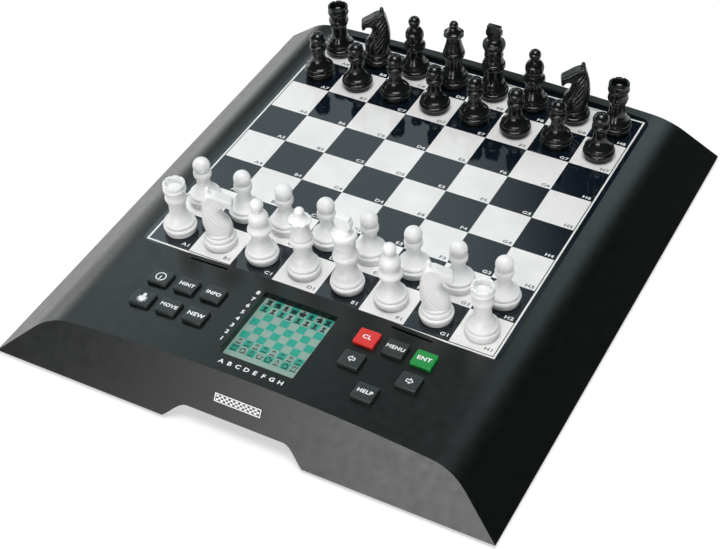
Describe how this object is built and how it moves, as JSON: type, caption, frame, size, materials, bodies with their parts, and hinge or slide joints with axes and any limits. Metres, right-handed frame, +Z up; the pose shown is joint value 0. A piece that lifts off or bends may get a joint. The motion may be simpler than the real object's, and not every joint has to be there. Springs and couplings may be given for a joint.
{
  "type": "electronic chess computer",
  "caption": "Tabletop electronic chess computer: crowned dark housing with sloping sides, recessed chequered sensor board, small liquid crystal display, keys and a full set of pieces.",
  "frame": {"origin": "on the table, under the middle of the object's bounding box", "axes": "+X to the right from the a file to the h file, +Y from the white side to the black side, +Z up"},
  "size_m": [0.2792, 0.3028, 0.0736],
  "materials": {
    "case_top": "satin charcoal ABS with a fine sheen",
    "case_bottom": "matt black ABS",
    "board": "glossy printed sheet, dark and white squares",
    "membrane": "clear amber film with printed contacts",
    "window": "clear cover over the display",
    "display": "grey-green liquid crystal display in its frame",
    "circuit": "green circuit board with black parts",
    "mat": "translucent silicone",
    "battery": "plain sleeved cells",
    "contact": "nickel-plated spring steel",
    "speaker": "black paper cone and magnet",
    "socket": "black plastic",
    "badge": "plain red and white chequered plate without lettering",
    "screw": "zinc-plated steel",
    "foot": "black rubber",
    "key_grey": "dark grey satin",
    "key_red": "dark red satin",
    "key_green": "dark green satin",
    "white_piece": "white satin polystyrene",
    "black_piece": "glossy black polystyrene"
  },
  "bodies": {
    "housing": {"top_housing": "case_top", "bottom_housing": "case_bottom", "board_sheet": "board", "sensor_membrane": "membrane", "lcd_window": "window", "lcd_module": "display", "main_circuit_board": "circuit", "key_mats": "mat", "batteries": "battery", "battery_contacts": "contact", "speaker": "speaker", "power_socket": "socket", "front_badge": "badge", "screws": "screw", "rubber_feet": "foot"},
    "cover": {"battery_cover": "case_bottom"},
    "power_key_body": {"power_key": "key_grey"},
    "hint_key_body": {"hint_key": "key_grey"},
    "info_key_body": {"info_key": "key_grey"},
    "light_key_body": {"light_key": "key_grey"},
    "move_key_body": {"move_key": "key_grey"},
    "new_key_body": {"new_key": "key_grey"},
    "clear_key_body": {"clear_key": "key_red"},
    "menu_key_body": {"menu_key": "key_grey"},
    "enter_key_body": {"enter_key": "key_green"},
    "left_key_body": {"left_key": "key_grey"},
    "right_key_body": {"right_key": "key_grey"},
    "help_key_body": {"help_key": "key_grey"},
    "white_pawn_a_body": {"white_pawn_a": "white_piece"},
    "white_pawn_b_body": {"white_pawn_b": "white_piece"},
    "white_pawn_c_body": {"white_pawn_c": "white_piece"},
    "white_pawn_d_body": {"white_pawn_d": "white_piece"},
    "white_pawn_e_body": {"white_pawn_e": "white_piece"},
    "white_pawn_f_body": {"white_pawn_f": "white_piece"},
    "white_pawn_g_body": {"white_pawn_g": "white_piece"},
    "white_pawn_h_body": {"white_pawn_h": "white_piece"},
    "white_rook_a_body": {"white_rook_a": "white_piece"},
    "white_knight_b_body": {"white_knight_b": "white_piece"},
    "white_bishop_c_body": {"white_bishop_c": "white_piece"},
    "white_queen_d_body": {"white_queen_d": "white_piece"},
    "white_king_e_body": {"white_king_e": "white_piece"},
    "white_bishop_f_body": {"white_bishop_f": "white_piece"},
    "white_knight_g_body": {"white_knight_g": "white_piece"},
    "white_rook_h_body": {"white_rook_h": "white_piece"},
    "black_pawn_a_body": {"black_pawn_a": "black_piece"},
    "black_pawn_b_body": {"black_pawn_b": "black_piece"},
    "black_pawn_c_body": {"black_pawn_c": "black_piece"},
    "black_pawn_d_body": {"black_pawn_d": "black_piece"},
    "black_pawn_e_body": {"black_pawn_e": "black_piece"},
    "black_pawn_f_body": {"black_pawn_f": "black_piece"},
    "black_pawn_g_body": {"black_pawn_g": "black_piece"},
    "black_pawn_h_body": {"black_pawn_h": "black_piece"},
    "black_rook_a_body": {"black_rook_a": "black_piece"},
    "black_knight_b_body": {"black_knight_b": "black_piece"},
    "black_bishop_c_body": {"black_bishop_c": "black_piece"},
    "black_queen_d_body": {"black_queen_d": "black_piece"},
    "black_king_e_body": {"black_king_e": "black_piece"},
    "black_bishop_f_body": {"black_bishop_f": "black_piece"},
    "black_knight_g_body": {"black_knight_g": "black_piece"},
    "black_rook_h_body": {"black_rook_h": "black_piece"}
  },
  "joints": [
    {"name": "battery_cover_slide", "type": "slide", "parent": "housing", "child": "cover", "axis": [0, 1, 0], "range_m": [0, 0.095]},
    {"name": "power_key_press", "type": "slide", "parent": "housing", "child": "power_key_body", "axis": [0, 0, -1], "range_m": [0, 0.001], "stiffness_N_per_m": 400},
    {"name": "hint_key_press", "type": "slide", "parent": "housing", "child": "hint_key_body", "axis": [0, 0, -1], "range_m": [0, 0.001], "stiffness_N_per_m": 400},
    {"name": "info_key_press", "type": "slide", "parent": "housing", "child": "info_key_body", "axis": [0, 0, -1], "range_m": [0, 0.001], "stiffness_N_per_m": 400},
    {"name": "light_key_press", "type": "slide", "parent": "housing", "child": "light_key_body", "axis": [0, 0, -1], "range_m": [0, 0.001], "stiffness_N_per_m": 400},
    {"name": "move_key_press", "type": "slide", "parent": "housing", "child": "move_key_body", "axis": [0, 0, -1], "range_m": [0, 0.001], "stiffness_N_per_m": 400},
    {"name": "new_key_press", "type": "slide", "parent": "housing", "child": "new_key_body", "axis": [0, 0, -1], "range_m": [0, 0.001], "stiffness_N_per_m": 400},
    {"name": "clear_key_press", "type": "slide", "parent": "housing", "child": "clear_key_body", "axis": [0, 0, -1], "range_m": [0, 0.001], "stiffness_N_per_m": 400},
    {"name": "menu_key_press", "type": "slide", "parent": "housing", "child": "menu_key_body", "axis": [0, 0, -1], "range_m": [0, 0.001], "stiffness_N_per_m": 400},
    {"name": "enter_key_press", "type": "slide", "parent": "housing", "child": "enter_key_body", "axis": [0, 0, -1], "range_m": [0, 0.001], "stiffness_N_per_m": 400},
    {"name": "left_key_press", "type": "slide", "parent": "housing", "child": "left_key_body", "axis": [0, 0, -1], "range_m": [0, 0.001], "stiffness_N_per_m": 400},
    {"name": "right_key_press", "type": "slide", "parent": "housing", "child": "right_key_body", "axis": [0, 0, -1], "range_m": [0, 0.001], "stiffness_N_per_m": 400},
    {"name": "help_key_press", "type": "slide", "parent": "housing", "child": "help_key_body", "axis": [0, 0, -1], "range_m": [0, 0.001], "stiffness_N_per_m": 400},
    {"name": "white_pawn_a_lift", "type": "slide", "parent": "housing", "child": "white_pawn_a_body", "axis": [0, 0, 1], "range_m": [0, 0.06]},
    {"name": "white_pawn_b_lift", "type": "slide", "parent": "housing", "child": "white_pawn_b_body", "axis": [0, 0, 1], "range_m": [0, 0.06]},
    {"name": "white_pawn_c_lift", "type": "slide", "parent": "housing", "child": "white_pawn_c_body", "axis": [0, 0, 1], "range_m": [0, 0.06]},
    {"name": "white_pawn_d_lift", "type": "slide", "parent": "housing", "child": "white_pawn_d_body", "axis": [0, 0, 1], "range_m": [0, 0.06]},
    {"name": "white_pawn_e_lift", "type": "slide", "parent": "housing", "child": "white_pawn_e_body", "axis": [0, 0, 1], "range_m": [0, 0.06]},
    {"name": "white_pawn_f_lift", "type": "slide", "parent": "housing", "child": "white_pawn_f_body", "axis": [0, 0, 1], "range_m": [0, 0.06]},
    {"name": "white_pawn_g_lift", "type": "slide", "parent": "housing", "child": "white_pawn_g_body", "axis": [0, 0, 1], "range_m": [0, 0.06]},
    {"name": "white_pawn_h_lift", "type": "slide", "parent": "housing", "child": "white_pawn_h_body", "axis": [0, 0, 1], "range_m": [0, 0.06]},
    {"name": "white_rook_a_lift", "type": "slide", "parent": "housing", "child": "white_rook_a_body", "axis": [0, 0, 1], "range_m": [0, 0.06]},
    {"name": "white_knight_b_lift", "type": "slide", "parent": "housing", "child": "white_knight_b_body", "axis": [0, 0, 1], "range_m": [0, 0.06]},
    {"name": "white_bishop_c_lift", "type": "slide", "parent": "housing", "child": "white_bishop_c_body", "axis": [0, 0, 1], "range_m": [0, 0.06]},
    {"name": "white_queen_d_lift", "type": "slide", "parent": "housing", "child": "white_queen_d_body", "axis": [0, 0, 1], "range_m": [0, 0.06]},
    {"name": "white_king_e_lift", "type": "slide", "parent": "housing", "child": "white_king_e_body", "axis": [0, 0, 1], "range_m": [0, 0.06]},
    {"name": "white_bishop_f_lift", "type": "slide", "parent": "housing", "child": "white_bishop_f_body", "axis": [0, 0, 1], "range_m": [0, 0.06]},
    {"name": "white_knight_g_lift", "type": "slide", "parent": "housing", "child": "white_knight_g_body", "axis": [0, 0, 1], "range_m": [0, 0.06]},
    {"name": "white_rook_h_lift", "type": "slide", "parent": "housing", "child": "white_rook_h_body", "axis": [0, 0, 1], "range_m": [0, 0.06]},
    {"name": "black_pawn_a_lift", "type": "slide", "parent": "housing", "child": "black_pawn_a_body", "axis": [0, 0, 1], "range_m": [0, 0.06]},
    {"name": "black_pawn_b_lift", "type": "slide", "parent": "housing", "child": "black_pawn_b_body", "axis": [0, 0, 1], "range_m": [0, 0.06]},
    {"name": "black_pawn_c_lift", "type": "slide", "parent": "housing", "child": "black_pawn_c_body", "axis": [0, 0, 1], "range_m": [0, 0.06]},
    {"name": "black_pawn_d_lift", "type": "slide", "parent": "housing", "child": "black_pawn_d_body", "axis": [0, 0, 1], "range_m": [0, 0.06]},
    {"name": "black_pawn_e_lift", "type": "slide", "parent": "housing", "child": "black_pawn_e_body", "axis": [0, 0, 1], "range_m": [0, 0.06]},
    {"name": "black_pawn_f_lift", "type": "slide", "parent": "housing", "child": "black_pawn_f_body", "axis": [0, 0, 1], "range_m": [0, 0.06]},
    {"name": "black_pawn_g_lift", "type": "slide", "parent": "housing", "child": "black_pawn_g_body", "axis": [0, 0, 1], "range_m": [0, 0.06]},
    {"name": "black_pawn_h_lift", "type": "slide", "parent": "housing", "child": "black_pawn_h_body", "axis": [0, 0, 1], "range_m": [0, 0.06]},
    {"name": "black_rook_a_lift", "type": "slide", "parent": "housing", "child": "black_rook_a_body", "axis": [0, 0, 1], "range_m": [0, 0.06]},
    {"name": "black_knight_b_lift", "type": "slide", "parent": "housing", "child": "black_knight_b_body", "axis": [0, 0, 1], "range_m": [0, 0.06]},
    {"name": "black_bishop_c_lift", "type": "slide", "parent": "housing", "child": "black_bishop_c_body", "axis": [0, 0, 1], "range_m": [0, 0.06]},
    {"name": "black_queen_d_lift", "type": "slide", "parent": "housing", "child": "black_queen_d_body", "axis": [0, 0, 1], "range_m": [0, 0.06]},
    {"name": "black_king_e_lift", "type": "slide", "parent": "housing", "child": "black_king_e_body", "axis": [0, 0, 1], "range_m": [0, 0.06]},
    {"name": "black_bishop_f_lift", "type": "slide", "parent": "housing", "child": "black_bishop_f_body", "axis": [0, 0, 1], "range_m": [0, 0.06]},
    {"name": "black_knight_g_lift", "type": "slide", "parent": "housing", "child": "black_knight_g_body", "axis": [0, 0, 1], "range_m": [0, 0.06]},
    {"name": "black_rook_h_lift", "type": "slide", "parent": "housing", "child": "black_rook_h_body", "axis": [0, 0, 1], "range_m": [0, 0.06]}
  ]
}
